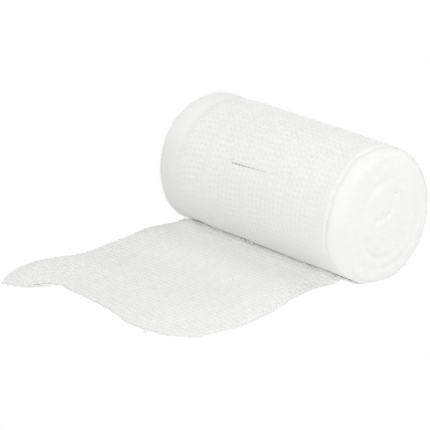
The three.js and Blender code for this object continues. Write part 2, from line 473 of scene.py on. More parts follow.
def crease_groove(x, angle):
    """How deep the crease is pressed in at x and an angle."""
    strength = curve(CREASE_STRENGTH, np.degrees(angle) % 360)
    strength = strength * (1 + lumps(skin_place(0, angle), CREASE_CHANGES))
    return CREASE_DEPTH * strength * bump((x - crease(angle) + CREASE_SHIFT) / CREASE_HALF_WIDTH)


print("the crease at the top of the roll:", round(float(crease(np.array([math.pi]))[0]), 1), "mm")

# %% [markdown]
# The weave isn't equally clear everywhere. High on the roll its gaps are deep and clean. Low on the
# front and towards the near end the fluff is matted, and the gaps all but close. One function
# says how clear it is at each place, and both the skin and the yarns follow it.

# %% How clear the weave is
# It is clearest at CLEAREST degrees, just past the top, and LEAST_CLEAR at the bottom. Towards the
# near end, between two places along the roll, MATTED_SHARE of that is lost.
CLEAREST, CLEAR_ARC = 182, 58
LEAST_CLEAR = 0.22
MATTED_ALONG, MATTED_SHARE = (5, 32), 0.55
CLEARNESS_CHANGES = [(0.35, 9.0, 21)]

# The outer turn's yarns start at FAR_EDGE and come clear over FADES_OVER mm. Before the crease they
# sink in over SINKS_OVER mm. The gaps between them are COVER_DEPTH deep.
FAR_EDGE = -34.0
FADES_OVER = 5.5
SINKS_OVER = 1.2
COVER_DEPTH = 0.1


def clearness(x, angle):
    """How clear the weave is, from 0 to 1."""
    clear = LEAST_CLEAR + (1 - LEAST_CLEAR) * bump((np.degrees(angle) % 360 - CLEAREST) / CLEAR_ARC)
    clear = clear * (1 - MATTED_SHARE * smooth(x, *MATTED_ALONG))
    return clear * (1 + lumps(skin_place(x, angle), CLEARNESS_CHANGES))


print("clearness at the top, x 0:", np.round(clearness(np.array([0.0]), np.array([math.pi])), 2))

# %% [markdown]
# The body of the roll is one closed skin of rings, from the core of the far end face, over the
# rim, along the side, over the near rim and in to the near core. It could be a real spiral of 35
# turns, but the turns cling together and only their edges show, matted and soft. So the skin is
# left whole and the spiral is pressed into its end faces as a shallow, broken groove.

# %% The spiral on the end faces
# The turns are one cloth's thickness apart, in mm, and wander by a share of it. The groove's depth
# is in mm and its half width a share of the pitch.
TURN_PITCH = 0.6
TURN_WANDER = [(0.35, 5.0, 1), (0.12, 1.6, 2)]
GROOVE_DEPTH, GROOVE_SHARE = 0.06, 0.26

# In patches the turns are matted together, and there only LEAST_GROOVE of the depth is left.
PATCHES, PATCH_RANGE = [(1, 3.2, 4)], (-0.35, 0.45)
LEAST_GROOVE = 0.3

# The faces bulge out by CROWN in the middle. MOTTLE makes them and the rims uneven.
CROWN = 0.9
MOTTLE = [(0.13, 2.6, 5), (0.052, 1.1, 19)]
RIM_MOTTLE = [(0.03, 1.2, 23)]

# The near face's noise is read at this x, and the far face's at minus it.
FACE_NOISE_AT = 50.0

# Dents in the near end face: y, z, radius and depth in mm.
NEAR_DENTS = [
    (1.5, 21.7, 0.7, 0.6),
    (-0.9, 21.0, 1.2, 0.2),
    (-3.3, 20.4, 1.2, 0.4),
    (4.3, 27.7, 0.45, 0.4),
    (3.5, 27.1, 0.3, 0.16),
]
FAR_DENTS = [(0.4, 20.9, 1.1, 1.2), (-3.0, 23.0, 0.6, 0.3)]

# Rings where the winding slackened: share of the radius, half width in mm, depth in mm, and the
# angle in degrees and spread of the arc on which it shows.
NEAR_RINGS = [
    (0.64, 1.0, 0.25, 325, 65), (0.63, 1.2, 0.2, 205, 50), (0.36, 0.8, 0.12, 330, 60),
    (0.82, 0.9, 0.12, 20, 60),
]
FAR_RINGS = [(0.7, 0.6, 0.4, 200, 110), (0.45, 0.5, 0.2, 30, 70)]


def coil_relief(side, radius, rim, angle):
    """How far an end face stands out at each point, in mm."""
    flat = np.stack([0 * radius + side * FACE_NOISE_AT, radius * np.sin(angle), radius * np.cos(angle)], -1)
    turn = radius / TURN_PITCH - side * angle / (2 * math.pi) + lumps(flat, TURN_WANDER)
    from_groove = np.abs(turn - np.round(turn))
    distinct = LEAST_GROOVE + smooth(lumps(flat, PATCHES), *PATCH_RANGE)
    height = CROWN * (1 - (radius / rim) ** 2) + lumps(flat, MOTTLE)
    height = height - GROOVE_DEPTH * distinct * bump(from_groove / GROOVE_SHARE)
    for share, half, depth, middle, spread in NEAR_RINGS if side > 0 else FAR_RINGS:
        in_ring = bump((radius - share * rim) / half)
        height = height - depth * in_ring * bump(degrees_from(angle, middle) / spread)
    for y, z, size, depth in NEAR_DENTS if side > 0 else FAR_DENTS:
        gap = np.hypot(radius * np.sin(angle) - y, AXIS_HEIGHT - radius * np.cos(angle) - z)
        height = height - depth * bump(gap / size)
    return height


print("about", round(CYLINDER_RADIUS / TURN_PITCH), "turns show on an end face")

# %% [markdown]
# Each ring follows the measured reach at its own place. Over a rim the rings turn in through a
# quarter circle, and on a face they shrink towards the core. A spun profile would be quicker to
# make, but it gives true circles, and the roll has none. So the rings are worked out as points.

# %% The rings of the roll's body
# How finely the skin is cut: the points of a ring, and the rings over a rim, on a face, along the
# side and by the crease.
ROUND_STEPS = 256
RIM_STEPS = 16
FACE_STEPS = 116
SIDE_STEPS = 66
CREASE_STEPS = 20

# The last CREASE_ZONE mm before the near rim have rings of their own. The skin is level again
# LEVEL_PAST mm beyond the crease.
CREASE_ZONE = 3.5
LEVEL_PAST = 0.2

# A face's rings are even out to EVEN_WITHIN of the radius and follow the rim's outline from there.
# The innermost has CORE_SHARE of the radius.
EVEN_WITHIN = 0.6
CORE_SHARE = 0.008

angles = np.arange(ROUND_STEPS) * 2 * math.pi / ROUND_STEPS


def end_rings(side, start, inset, bevel):
    """Rings over a rim and in to the core, as x and radius for each angle. bevel is the rim's flat share."""
    edge = roll_reach(start, angles)
    even = edge
    for _ in range(ROUND_STEPS):
        even = (np.roll(even, 1) + 2 * even + np.roll(even, -1)) / 4
    face = side * HALF_LENGTH
    rings = []
    for turn in np.linspace(0, math.pi / 2, RIM_STEPS)[:-1]:
        x = start + (face - start) * math.sin(turn)
        radius = edge - inset * ((1 - bevel) * (1 - math.cos(turn)) + bevel * math.sin(turn))
        relief = coil_relief(side, radius, edge - inset, angles)
        pressed = (relief - CROWN * (1 - (radius / (edge - inset)) ** 2)) * math.sin(turn)
        radius = radius + lumps(roll_point(x, radius, angles), RIM_MOTTLE)
        if side > 0:
            radius = radius - crease_groove(x, angles)
        rings.append((x + side * pressed * math.sin(turn), radius + pressed * math.cos(turn)))
    for share in np.linspace(1, CORE_SHARE, FACE_STEPS):
        rim = even + (edge - even) * smooth(share, EVEN_WITHIN, 1) - inset
        rings.append((face + side * coil_relief(side, rim * share, rim, angles), rim * share))
    return rings


def side_rings():
    """Rings along the side, sunk under the outer turn and level beyond its edge."""
    rings = []
    edge = crease(angles)
    last = near_start(angles)
    places = [FAR_START + (last - CREASE_ZONE - FAR_START) * t for t in np.linspace(0, 1, SIDE_STEPS)[1:]]
    places += [last - CREASE_ZONE * (1 - t) for t in np.linspace(0, 1, CREASE_STEPS)[1:-1]]
    for x in places:
        covered = 1 - smooth(x, edge - SINKS_OVER, edge + LEVEL_PAST)
        covered = covered * smooth(x, FAR_EDGE, FAR_EDGE + FADES_OVER)
        gaps = COVER_DEPTH * clearness(x, angles) * covered
        rings.append((x, roll_reach(x, angles) - gaps - crease_groove(x, angles)))
    return rings


far_end = end_rings(-1, np.full(ROUND_STEPS, FAR_START), FAR_INSET, 0)
near_end = end_rings(1, near_start(angles), near_inset(angles), BEVEL_SHARE)
rings = far_end[::-1] + side_rings() + near_end
print(len(rings), "rings of", ROUND_STEPS, "points")

# %% Close the roll's body
ring_points = np.array([roll_point(x, radius, angles) for x, radius in rings])
far_core = ring_points[0].mean(0)
near_core = ring_points[-1].mean(0)
points = np.vstack([ring_points.reshape(-1, 3), [far_core, near_core]])

ring, step = np.meshgrid(np.arange(len(rings) - 1), np.arange(ROUND_STEPS), indexing="ij")
onward = (step + 1) % ROUND_STEPS
corners = [ring * ROUND_STEPS + step, ring * ROUND_STEPS + onward]
corners += [corners[1] + ROUND_STEPS, corners[0] + ROUND_STEPS]
faces = np.stack(corners, -1).reshape(-1, 4).tolist()

core = len(rings) * ROUND_STEPS
last = core - ROUND_STEPS
for i in range(ROUND_STEPS):
    j = (i + 1) % ROUND_STEPS
    faces.append([core, j, i])
    faces.append([core + 1, last + i, last + j])

roll_body = new_piece("wound_roll_body", points, faces)
print("the roll's body has", triangles(roll_body), "triangles")

# %% [markdown]
# Gauze is yarns, warps along the strip and wefts across it, each over one and under the next.
# A flat picture of that would look printed on from the side, so the yarns of the outer turn are
# real: half-round strands that rise and dip over each other. One helper makes them all. It takes
# the path of each yarn's underside with the cloth's own normal there, and sweeps a half-round
# section along it, as wide and as high as each point asks.

# %% Helper for yarns
HALF_ROUND = [(-0.5, 0.0), (-0.36, 0.72), (0.0, 1.0), (0.36, 0.72), (0.5, 0.0)]
THREE_SIDED = [(-0.5, 0.0), (0.0, 0.9), (0.5, 0.0)]


def unit(vectors):
    """The same vectors, each of length 1."""
    return vectors / np.maximum(np.linalg.norm(vectors, axis=-1, keepdims=True), 1e-9)


def yarns(name, paths, normals, widths, heights, section=HALF_ROUND):
    """One mesh of closed strands. paths and normals are (yarn, step, 3), widths and heights (yarn, step)."""
    count, steps, _ = paths.shape
    sides = len(section)
    across = unit(np.cross(normals, np.gradient(paths, axis=1)))
    rim = [
        paths + across * (widths * a)[..., None] + normals * (heights * b)[..., None]
        for a, b in section
    ]
    points = np.stack(rim, 2)

    yarn, step, k = np.meshgrid(np.arange(count), np.arange(steps - 1), np.arange(sides), indexing="ij")
    first = (yarn * steps + step) * sides
    nearby = (k + 1) % sides
    quads = np.stack([first + k, first + sides + k, first + sides + nearby, first + nearby], -1)

    length = np.cumsum(np.linalg.norm(np.diff(paths, axis=1, prepend=paths[:, :1]), axis=-1), axis=1)
    u = np.stack([length[yarn, step], length[yarn, step + 1]] * 2, -1)[..., [0, 1, 3, 2]]
    v = np.stack([k, k, k + 1, k + 1], -1) / sides
    uvs = np.stack([u, v], -1).reshape(-1, 2)

    starts = (np.arange(count) * steps * sides)[:, None] + np.arange(sides)
    ends = starts[:, ::-1] + (steps - 1) * sides
    caps = np.vstack([starts, ends])
    uvs = np.vstack([uvs, np.zeros((caps.size, 2))])
    return new_piece(name, points, quads.reshape(-1, 4).tolist() + caps.tolist(), uvs)


# %% [markdown]
# The outer turn is covered with 52 warps, which run round the roll, and 68 wefts, which run along
# it, slightly askew. Real crepe gauze has about twice as many of each. They are drawn this coarse
# because the photograph shows them so, 1.3 mm from warp to warp and 1.9 mm from weft to weft.
# They wander, swell and thin out a little, and at each crossing one lies over the other.

# %% Yarns of the outer turn
ROLL_WARPS = 52
ROLL_WEFTS = 68
STEPS_PER_CROSSING = 3

# Widths, heights and depths are in mm. A yarn is far wider than high, for the fluff on it. It rises
# and dips by RISE at a crossing, and its top stands COVER_TOP out of the skin.
ROLL_WARP_WIDTH, ROLL_WEFT_WIDTH = 1.12, 1.6
YARN_HEIGHT = 0.24
RISE = 0.03
COVER_TOP = 0.02

# The yarns lie deeper in the matted far rim, and go under at the crease, up to GONE_BY before it.
FAR_SINK, CREASE_SINK = 0.12, 0.24
GONE_BY = 0.1

# A weft runs askew by SKEW mm for each mm across. The warps' ends meet below the roll.
SKEW = 0.22
ROUND_LENGTH = 2 * math.pi * CYLINDER_RADIUS
COVER_SKEW = SKEW * (CREASE_LINE[0][1] - FAR_EDGE) / ROUND_LENGTH
SEAM_ANGLE = math.radians(-4.2)

# The noise of the yarns is read on the turn rolled out flat, and that of the wefts a little above
# it. Warps wander in mm, wefts in radians.
FLAT_RADIUS = 20.85
WEFT_NOISE_AT = 3.0
WARP_WANDER, WEFT_WANDER = [(0.16, 4.0, 6)], [(0.007, 4.0, 7)]
RISE_CHANGES = [(-0.4, 14.0, 8)]
YARN_SWELL = [(0.16, 1.7, 9), (0.12, 11.0, 10)]


def yarn_grid(count, crossings):
    """Yarns side by side, and the steps along them, as two arrays of (yarn, step) from 0 to 1."""
    steps = crossings * STEPS_PER_CROSSING
    return np.meshgrid((np.arange(count) + 0.5) / count, np.arange(steps + 1) / steps, indexing="ij")


def cover_yarns(name, across, share, turn, over, width):
    """Yarns on the outer turn. share is across its width, turn is round it, over is -1 under to 1."""
    angle = SEAM_ANGLE + 2 * math.pi * turn
    x = FAR_EDGE + (crease(angle) - FAR_EDGE) * share
    flat = np.stack([x, angle * FLAT_RADIUS, 0 * x + WEFT_NOISE_AT * across], -1)
    x = x + lumps(flat, WARP_WANDER) * (1 - across)
    angle = angle + lumps(flat, WEFT_WANDER) * across
    sunk = FAR_SINK * (1 - smooth(x, FAR_EDGE, FAR_EDGE + FADES_OVER))
    sunk = sunk + CREASE_SINK * smooth(x, crease(angle) - SINKS_OVER, crease(angle) - GONE_BY)
    rise = RISE * over * (1 + lumps(flat, RISE_CHANGES)) * clearness(x, angle)
    base = COVER_TOP - YARN_HEIGHT + rise - sunk
    radius = roll_reach(x, angle) - crease_groove(x, angle) + base
    swell = 1 + lumps(flat, YARN_SWELL)
    normals = np.broadcast_to(spoke(angle), (*x.shape, 3))
    return yarns(name, roll_point(x, radius, angle), normals, width * swell, YARN_HEIGHT * swell)


share, turn = yarn_grid(ROLL_WARPS, ROLL_WEFTS)
crossed = (turn + COVER_SKEW * share) * ROLL_WEFTS - 0.5
over = np.cos(math.pi * (crossed + np.arange(ROLL_WARPS)[:, None]))
roll_warps = cover_yarns("outer_turn_warps", 0, share, turn, over, ROLL_WARP_WIDTH)

turn, share = yarn_grid(ROLL_WEFTS, ROLL_WARPS)
over = -np.cos(math.pi * (share * ROLL_WARPS - 0.5 + np.arange(ROLL_WEFTS)[:, None]))
roll_wefts = cover_yarns("outer_turn_wefts", 1, share, turn - COVER_SKEW * share, over, ROLL_WEFT_WIDTH)
print("warps", triangles(roll_warps), "and wefts", triangles(roll_wefts), "triangles")

# %% [markdown]
# The loose end is the same strip, lying on the floor in low waves. It is drawn in where the roll holds its
# near side, and its far corner is lifted. A cloth simulation could drop it on the floor, but its few waves
# are known from the photograph, so it is a thin sheet, and short tables give its selvedges, its cut end and
# its waves, as the solid has them. Under the roll both selvedges are tucked in, so that no edge shows below
# a rim.

# %% The loose end's form
# The y at which the strip begins, under the roll.
NIP_Y = -3.1

# The selvedges: for each y, the far and the near x.
FAR_SELVEDGE = [
    (-87, -36.0), (-82, -38.8), (-76, -41.0), (-69, -41.0), (-62, -40.4), (-52, -38.4), (-42, -39.4),
    (-32, -40.7), (-24, -41.1), (-17, -40.6), (-13, -39.7), (-11, -38.9), (-9, -38.2), (-7, -37.7),
    (-5, -37.4), (-3, -37.2), (-1, -37.1),
]
NEAR_SELVEDGE = [
    (-86, 36.4), (-76, 36.4), (-69, 36.4), (-62, 37.4), (-57, 38.2), (-52, 37.7), (-47, 36.9),
    (-42, 36.1), (-37, 34.4), (-32, 32.7), (-27, 31.5), (-22.5, 30.9), (-18.3, 30.8), (-15, 31.5),
    (-12.5, 32.7), (-11.3, 33.7), (-10.2, 34.9), (-9.2, 36.0), (-7.6, 37.2), (-5.8, 37.7), (-4.3, 37.7),
    (-3, 37.6), (-1, 37.5),
]

# The cut end's y, by share of the width from the far selvedge.
CUT_END = [
    (0, -86.9), (0.05, -86.4), (0.11, -84.9), (0.17, -80.7), (0.23, -75.8), (0.32, -75.7),
    (0.46, -76.1), (0.6, -77.5), (0.72, -79.6), (0.82, -78.8), (0.92, -76.7), (1, -71.2),
]

# The waves: middle x and y, heading of the crest in degrees, half length, half width and height.
WAVES = [
    (-34.5, -74, 110, 11, 6, 2.5),
    (-39, -23, 80, 8, 7, 0.9),
    (25, -21, 85, 11, 6.5, 1.4),
    (12, -70, 8, 16, 5, 0.9),
    (-4, -44, 40, 18, 7, 0.6),
]

# The cloth lies flat where the waves are lower than this, and they die away towards the cut end and
# the near selvedge, between these distances from them.
LIES_FLAT_BELOW = 0.2
END_DROP = (0, 4.0)
NEAR_DROP = (-1, 5.0)

# Near the far corner the cut edge itself is lifted, as one more wave. What is tucked in below it
# follows the other waves by KEPT_BELOW at least.
LIFTED_EDGE = (-25.6, -79.0, 50, 5.2, 3.4, 0.75)
KEPT_BELOW = 0.3


def wave(x, y, row):
    """The height of one wave at x and y, from its row of a table."""
    middle_x, middle_y, heading, half_length, half_width, height = row
    return height * ridge(x - middle_x, y - middle_y, heading, half_length, half_width)


def wave_height(x, y, from_cut, lift):
    """How far the cloth's underside is off the floor, in mm. lift is 1, or less for what lies below."""
    waves = sum(wave(x, y, row) for row in WAVES) - LIES_FLAT_BELOW
    from_near = curve(NEAR_SELVEDGE, y) - x
    waves = np.maximum(waves, 0) * smooth(from_cut, *END_DROP) * smooth(from_near, *NEAR_DROP)
    return waves * (KEPT_BELOW + (1 - KEPT_BELOW) * lift) + lift * wave(x, y, LIFTED_EDGE)


def loose_place(share, along, lift=1.0):
    """The point over the floor at a share of the width and of the length, as x, y and underside z."""
    cut = curve(CUT_END, share)
    y = NIP_Y + (cut - NIP_Y) * along
    far, near = curve(FAR_SELVEDGE, y), curve(NEAR_SELVEDGE, y)
    x = far + (near - far) * share
    return np.stack([x, y, wave_height(x, y, y - cut, lift)], -1)


corner = loose_place(np.array(0.0), np.array(1.0))
print("the far corner lies at", np.round(corner, 1), "mm")

# %% [markdown]
# Under the yarns lies a ground of fluff: fibres that stick out of the yarns and all but close
# the gaps. It starts as a flat grid of the strip's own size, whose points are then laid on the
# form, and Solidify gives it its thickness. It thins towards the cut end, and lies deeper where
# the weave has been stretched open. A second, small grid is the fold that is tucked in under the
# lifted edge by the far corner: only its front shows, below a dark gap.

# %% The top of the loose end's ground
# The flat strip, and the height of the ground's top over the cloth's underside, in mm.
STRIP_WIDTH = 80.0
END_LENGTH = 84.0
GROUND_TOP = 0.8

# It is thinner by THIN_END at the cut end, past this share of the length.
THIN_END, THIN_END_FROM = 0.35, 0.965

# Beside the near selvedge the weave is stretched open: between these shares of the width, and
# round one share of the length, with its half width. The ground is OPEN_DEPTH lower there.
OPEN_SHARES = (0.925, 0.975)
OPEN_MIDDLE, OPEN_HALF = 0.36, 0.22
OPEN_DEPTH = 0.11

# It is thinner by THIN_SELVEDGE at the selvedges, which fades over SELVEDGE_ZONE mm. Near the roll,
# between two values of y, FULLER of that is given back. MOST_THINNED is the most in all.
THIN_SELVEDGE, SELVEDGE_ZONE = 0.33, 4.5
FULLER, FULLER_BETWEEN = 0.8, (-18, -11)
MOST_THINNED = 0.45

# Under the roll, between two values of y, it is pressed thinner by a share.
PRESSED, PRESSED_BETWEEN = 0.65, (-7.0, -3.5)

# Where the strip leaves the roll it still clings to its underside a little way out, and only then
# falls to the floor: by y, how far it stands above where it would lie flat. At the far selvedge it
# clings less, by a share, up to FAR_ZONE of the width.
FAR_CLINGS_LESS, FAR_ZONE = 0.45, 0.07
CLINGS = [
    (-30, 0.0), (-24, 0.0), (-20, 0.02), (-17, 0.08), (-15, 0.16), (-13.6, 0.32), (-12.6, 0.64),
    (-12.0, 1.04), (-11.5, 1.5), (-11.1, 1.78), (-10.7, 1.65), (-10.2, 1.37), (-9.5, 1.04),
    (-9, 0.79), (-8.5, 0.56), (-8, 0.36), (-7.5, 0.27), (-6.5, 0.25), (-4, 0.25), (0, 0.25),
]


def openness(share, along):
    """1 where the weave has been stretched open, beside the near selvedge, and 0 elsewhere."""
    return smooth(share, *OPEN_SHARES) * bump((along - OPEN_MIDDLE) / OPEN_HALF)


def ground_top(share, along):
    """The height of the ground's top over the cloth's underside, in mm."""
    y = NIP_Y + (curve(CUT_END, share) - NIP_Y) * along
    clings = curve(CLINGS, y) * (1 - FAR_CLINGS_LESS * (1 - smooth(share, 0, FAR_ZONE)))
    from_selvedge = STRIP_WIDTH * np.minimum(share, 1 - share)
    thinned = THIN_END * smooth(along, THIN_END_FROM, 1.0) + OPEN_DEPTH * openness(share, along)
    thin_selvedge = THIN_SELVEDGE * (1 - FULLER * smooth(y, *FULLER_BETWEEN))
    thinned = thinned + thin_selvedge * (1 - smooth(from_selvedge, 0, SELVEDGE_ZONE))
    top = GROUND_TOP + clings - np.minimum(thinned, MOST_THINNED)
    return top * (1 - PRESSED * smooth(y, *PRESSED_BETWEEN))


def loose_top(share, along, lift=1.0):
    """The point on the ground's top at a share of the width and of the length."""
    place = loose_place(share, along, lift)
    place[..., 2] += ground_top(share, along)
    return place


print("the ground's top in the strip's middle:", round(float(ground_top(0.5, 0.5)), 2), "mm")

# %% The ground of the loose end
# The grid's step and the thickness that Solidify gives, in mm, the least share of it that stays
# where the ground is thin, and soft lumps on it.
GROUND_STEP = 1.0
GROUND_THICKNESS, LEAST_THICKNESS = 0.5, 0.3
GROUND_LUMPS = [(0.05, 3.0, 11)]

# The tucked fold: its shares of the width and of the length, its grid's step, how much of the
# lifted edge it follows, and where it falls to the floor.
FOLD_SHARES, FOLD_ALONGS = (0.1, 0.23), (0.93, 1.013)
FOLD_STEP = 0.5
FOLD_LIFT = 0.72
FOLD_ENDS = (0.985, 1.013)

# It comes out from below the edge over the first shares of its own width, and goes back over the
# last. It stays FOLD_GAP below the cloth above it, and closer where it starts.
FOLD_COMES_OUT, FOLD_GOES_BACK = (0, 0.45), (0.8, 1.0)
FOLD_GAP, LEAST_GAP, GAP_OPENS = 0.15, 0.3, (0.2, 0.6)


def laid_sheet(name, shares, alongs, step, below=False):
    """A grid between two shares of the width and two of the length, laid on the form and thickened."""
    bpy.ops.object.select_all(action="DESELECT")
    bpy.ops.mesh.primitive_grid_add(
        x_subdivisions=int(STRIP_WIDTH * (shares[1] - shares[0]) / step),
        y_subdivisions=int(END_LENGTH * (alongs[1] - alongs[0]) / step),
        size=1,
        location=(0, 0, 0),
    )
    sheet = bpy.context.active_object
    sheet.name = name
    flat = np.array([vertex.co for vertex in sheet.data.vertices])
    share = shares[0] + (shares[1] - shares[0]) * (flat[:, 0] + 0.5)
    along = alongs[0] + (alongs[1] - alongs[0]) * (0.5 - flat[:, 1])
    lift, gap = 1.0, 0.0
    if below:
        run = flat[:, 0] + 0.5
        out = smooth(run, *FOLD_COMES_OUT) * (1 - smooth(run, *FOLD_GOES_BACK))
        along = np.where(along > 1, 1 + (along - 1) * out, along)
        lift = FOLD_LIFT * (1 - smooth(along, *FOLD_ENDS))
        gap = FOLD_GAP * (LEAST_GAP + (1 - LEAST_GAP) * smooth(run, *GAP_OPENS))
    laid = loose_top(share, along, lift)
    laid[:, 2] += lumps(laid, GROUND_LUMPS) - gap
    sheet.data.vertices.foreach_set("co", np.ravel(laid * MM))
    sheet.data.update()

    thickness = sheet.vertex_groups.new(name="thickness")
    for i, top in enumerate(ground_top(share, along)):
        thickness.add([i], min(max(top / GROUND_TOP, LEAST_THICKNESS), 1), "REPLACE")
    thicken = sheet.modifiers.new("thickness", "SOLIDIFY")
    thicken.thickness = GROUND_THICKNESS * MM
    thicken.vertex_group = "thickness"
    thicken.offset = -1
    bpy.ops.object.modifier_apply(modifier="thickness")
    bpy.ops.object.shade_smooth()
    return sheet


loose_ground = laid_sheet("loose_end_ground", (0, 1), (0, 1), GROUND_STEP)
tucked_fold = laid_sheet("tucked_fold", FOLD_SHARES, FOLD_ALONGS, FOLD_STEP, below=True)
print("the ground has", triangles(loose_ground), "and the fold", triangles(tucked_fold), "triangles")

# %% [markdown]
# The same yarns as on the roll run over the loose end, on the same form. Where the weave is open
# they are thinner, so the gaps between them show as dark ticks. The warps aren't all cut at the
# same length, and the wefts stick out of the selvedges a little, so no edge is a clean line. The
# uneven lengths are drawn by chance from a fixed start, so every run gives the same ones.

# %% Where the wefts of the loose end run
# The wefts are numbered from the roll to the cut end, with more at either side because they run
# askew. SEARCH_STEPS points on each say where it lies on the strip, short of LAST_ALONG of the
# length, and a stretch of fewer than SHORTEST of them is left out.
WEFT_PITCH = 1.85
WEFT_NUMBERS = range(-11, 47)
SEARCH_STEPS = 801
LAST_ALONG = 0.997
SHORTEST = 25


def weft_number(share, along):
    """Which weft passes there. The wefts don't run straight across: the cloth is pulled askew."""
    length = (NIP_Y - curve(CUT_END, share)) * along
    return (length - SKEW * STRIP_WIDTH * share) / WEFT_PITCH


def weft_along(number, share):
    """The share of the length at which a weft passes."""
    length = WEFT_PITCH * number + SKEW * STRIP_WIDTH * share
    return length / (NIP_Y - curve(CUT_END, share))


def weft_stretches():
    """Every weft's stretches between the roll and the cut end: its number, first and last share."""
    shares = np.linspace(0, 1, SEARCH_STEPS)
    stretches = []
    for number in WEFT_NUMBERS:
        along = weft_along(number, shares)
        inside = np.flatnonzero((along > 0) & (along < LAST_ALONG))
        for part in np.split(inside, np.flatnonzero(np.diff(inside) > 1) + 1):
            if len(part) >= SHORTEST:
                stretches.append((number, shares[part[0]], shares[part[-1]]))
    return np.array(stretches)


print("the loose end has", len(weft_stretches()), "stretches of weft")

# %% Yarns of the loose end
LOOSE_WARPS = 60
LOOSE_WARP_WIDTH, LOOSE_WEFT_WIDTH = 1.08, 1.45

# How far the yarns stand out of the ground, in mm, and how they wander, as shares of the strip.
LOOSE_TOP = 0.14
LOOSE_WARP_WANDER, LOOSE_WEFT_WANDER = [(0.0022, 4.0, 12)], [(0.0022, 4.0, 13)]
LOOSE_RISE_CHANGES = [(-0.4, 14.0, 14)]
LOOSE_SWELL = [(0.16, 1.7, 15), (0.12, 11.0, 16)]

# Where the weave is open the yarns rise more and are thinner. Towards the cut end, between two
# shares of the length, they rise less and are thinner too.
OPEN_RISE, OPEN_THINNER = 1.2, 0.15
AT_CUT, CUT_RISE, CUT_THINNER = (0.93, 0.99), 0.7, 0.2

# The warps end up to FRAY mm past the cut, for which chance picks numbers in FRAY_CHANCE, and sag
# by FRAY_SAG mm. The wefts stick out of the selvedges by WEFT_NUB mm.
FRAY, FRAY_CHANCE = 0.5, (-0.15, 1)
FRAY_SAG, FRAY_SAGS_OVER = 0.3, (0.998, 1.008)
WEFT_NUB = 0.25

# How far to either side the cloth is read for its normal, as a share.
NORMAL_STEP = 0.004


def loose_normals(share, along):
    """The cloth's upward normal there."""
    over_width = loose_top(share + NORMAL_STEP, along) - loose_top(share - NORMAL_STEP, along)
    over_length = loose_top(share, along + NORMAL_STEP) - loose_top(share, along - NORMAL_STEP)
    normals = unit(np.cross(over_length, over_width))
    return normals * np.sign(normals[..., 2:3])


def loose_yarns(name, across, share, along, over, width):
    """Yarns laid on the loose end, as on the roll."""
    flat = np.stack([share * STRIP_WIDTH, along * END_LENGTH, 0 * share + WEFT_NOISE_AT * across], -1)
    opened = openness(share, along)
    share = share + lumps(flat, LOOSE_WARP_WANDER) * (1 - across)
    along = along + lumps(flat, LOOSE_WEFT_WANDER) * across
    normals = loose_normals(share, along)
    at_cut = smooth(along, *AT_CUT)
    rise = RISE * over * (1 + lumps(flat, LOOSE_RISE_CHANGES))
    rise = rise * (1 + OPEN_RISE * opened - CUT_RISE * at_cut)
    base = OPEN_DEPTH * opened + LOOSE_TOP - YARN_HEIGHT + rise
    base = base - FRAY_SAG * smooth(along, *FRAY_SAGS_OVER)
    swell = (1 + lumps(flat, LOOSE_SWELL)) * (1 - OPEN_THINNER * opened - CUT_THINNER * at_cut)
    paths = loose_top(share, along) + normals * base[..., None]
    return yarns(name, paths, normals, width * swell, YARN_HEIGHT * swell)


share, along = yarn_grid(LOOSE_WARPS, int(END_LENGTH / WEFT_PITCH))
chance = np.random.default_rng(seed=4)
along = along * (1 + FRAY * chance.uniform(*FRAY_CHANCE, LOOSE_WARPS) ** 2 / END_LENGTH)[:, None]
over = np.cos(math.pi * (weft_number(share, along) + np.arange(LOOSE_WARPS)[:, None]))
loose_warps = loose_yarns("loose_end_warps", 0, share, along, over, LOOSE_WARP_WIDTH)

number, first, last = weft_stretches().T[..., None]
first = np.where(first == 0, -WEFT_NUB / STRIP_WIDTH, first)
last = np.where(last == 1, 1 + WEFT_NUB / STRIP_WIDTH, last)
share = first + (last - first) * np.linspace(0, 1, LOOSE_WARPS * STEPS_PER_CROSSING + 1)
along = weft_along(number, share)
over = -np.cos(math.pi * (share * LOOSE_WARPS - 0.5 + number))
loose_wefts = loose_yarns("loose_end_wefts", 1, share, along, over, LOOSE_WEFT_WIDTH)
print("warps", triangles(loose_warps), "and wefts", triangles(loose_wefts), "triangles")

# %% [markdown]
# A selvedge is the strip's own woven edge. Its last warp is thicker than the others, and every
# weft turns back round it and pinches it. Here it is one strand to a side, which swells between
# the wefts and thins where each one pinches it.

# %% The selvedges of the loose end
# Sizes in mm. The strand's middle lies SELVEDGE_INSET in, and ends a little past the cut.
SELVEDGE_WIDTH, SELVEDGE_HEIGHT = 0.85, 0.42
SELVEDGE_INSET = 0.35
SELVEDGE_ENDS = 1.002
STEPS_PER_WEFT = 6

# It stands SELVEDGE_TOP out of the ground and SELVEDGE_SWELL more between wefts. A weft pinches its
# width and its height by these shares. It wanders by shares of the strip, each side its own way.
SELVEDGE_TOP, SELVEDGE_SWELL = 0.12, 0.06
PINCHED_WIDTH, PINCHED_HEIGHT = 0.35, 0.3
SELVEDGE_WANDER, SIDES_APART = [(0.002, 2.5, 18)], 9.0

